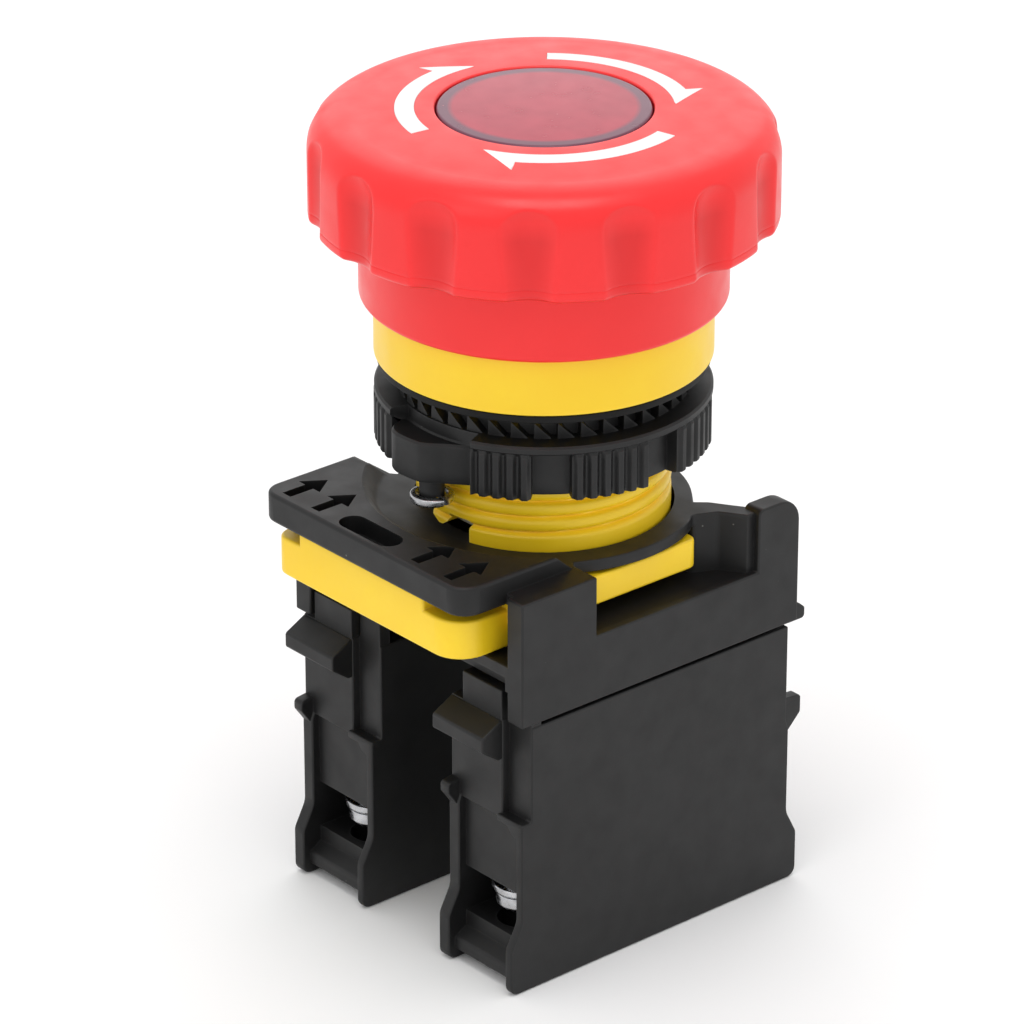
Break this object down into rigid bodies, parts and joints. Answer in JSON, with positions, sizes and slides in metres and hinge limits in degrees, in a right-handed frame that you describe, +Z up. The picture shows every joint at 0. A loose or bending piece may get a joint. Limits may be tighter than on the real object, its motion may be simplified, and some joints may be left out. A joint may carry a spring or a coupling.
{
  "type": "emergency stop button",
  "caption": "Panel-mount mushroom emergency stop with turn-to-reset head, threaded operator, clamp ring, locking contact carrier and screw-terminal contact blocks.",
  "frame": {"origin": "on the operator's axis, level with the feet of the contact blocks", "axes": "+Z up along the operator's axis towards the mushroom head; -Y towards the locking lever and the label plate; +X towards the right contact block"},
  "size_m": [0.04, 0.0399, 0.0732],
  "materials": {
    "red_plastic": "satin-gloss moulded red",
    "red_lens": "polished translucent dark red",
    "white_inlay": "satin white inlay",
    "yellow_plastic": "satin moulded yellow",
    "black_plastic": "fine matte moulded black",
    "rubber": "matte black seal",
    "natural_plastic": "unfilled natural plastic",
    "spring_steel": "drawn steel wire",
    "plated_steel": "bright plated steel",
    "brass": "stamped brass strip",
    "contact_silver": "silver-faced contact strip"
  },
  "bodies": {
    "base": {"operator_housing": "yellow_plastic", "panel_gasket": "rubber", "stem_seal": "rubber", "latch_ring": "natural_plastic", "trip_spring": "spring_steel", "contact_carrier": "black_plastic", "left_block_housing": "black_plastic", "left_block_cap": "black_plastic", "left_return_spring": "spring_steel", "left_front_fixed_contact": "brass", "left_front_terminal_screw": "plated_steel", "left_front_clamp_washer": "plated_steel", "left_rear_fixed_contact": "brass", "left_rear_terminal_screw": "plated_steel", "left_rear_clamp_washer": "plated_steel", "right_block_housing": "black_plastic", "right_block_cap": "black_plastic", "right_return_spring": "spring_steel", "right_front_fixed_contact": "brass", "right_front_terminal_screw": "plated_steel", "right_front_clamp_washer": "plated_steel", "right_rear_fixed_contact": "brass", "right_rear_terminal_screw": "plated_steel", "right_rear_clamp_washer": "plated_steel"},
    "pusher": {"pusher_plate": "black_plastic", "stem_clip": "spring_steel"},
    "head": {"mushroom_head": "red_plastic", "arrow_inlay_1": "white_inlay", "arrow_inlay_2": "white_inlay", "arrow_inlay_3": "white_inlay", "head_skirt": "red_plastic", "lens_cap": "red_lens", "lens_diffuser": "red_lens", "push_stem": "natural_plastic"},
    "left_contact": {"left_plunger": "natural_plastic", "left_contact_bridge": "contact_silver"},
    "right_contact": {"right_plunger": "natural_plastic", "right_contact_bridge": "contact_silver"},
    "clamp_ring": {"lock_ring": "black_plastic", "lock_screw": "plated_steel"},
    "lever": {"release_lever": "yellow_plastic"}
  },
  "joints": [
    {"name": "head_press", "type": "slide", "parent": "base", "child": "pusher", "axis": [0, 0, -1], "range_m": [0, 0.0045], "stiffness_N_per_m": 2500, "springref_m": -0.003, "deforming": ["trip_spring"]},
    {"name": "head_turn", "type": "hinge", "parent": "pusher", "child": "head", "pos_m": [0, 0, 0.06], "axis": [0, 0, -1], "range_deg": [0, 40], "stiffness_Nm_per_rad": 0.08},
    {"name": "left_contact_stroke", "type": "slide", "parent": "base", "child": "left_contact", "axis": [0, 0, -1], "range_m": [0, 0.0045], "stiffness_N_per_m": 300, "springref_m": -0.002, "deforming": ["left_return_spring"]},
    {"name": "right_contact_stroke", "type": "slide", "parent": "base", "child": "right_contact", "axis": [0, 0, -1], "range_m": [0, 0.0045], "stiffness_N_per_m": 300, "springref_m": -0.002, "deforming": ["right_return_spring"]},
    {"name": "clamp_ring_turn", "type": "hinge", "parent": "base", "child": "clamp_ring", "pos_m": [0, 0, 0.0458], "axis": [0, 0, 1], "range_deg": [-90, 0]},
    {"name": "lever_slide", "type": "slide", "parent": "base", "child": "lever", "axis": [0, -1, 0], "range_m": [0, 0.004]}
  ],
  "couplings": [
    {"joint": "left_contact_stroke", "follows": "head_press", "ratio": 1},
    {"joint": "right_contact_stroke", "follows": "head_press", "ratio": 1}
  ]
}
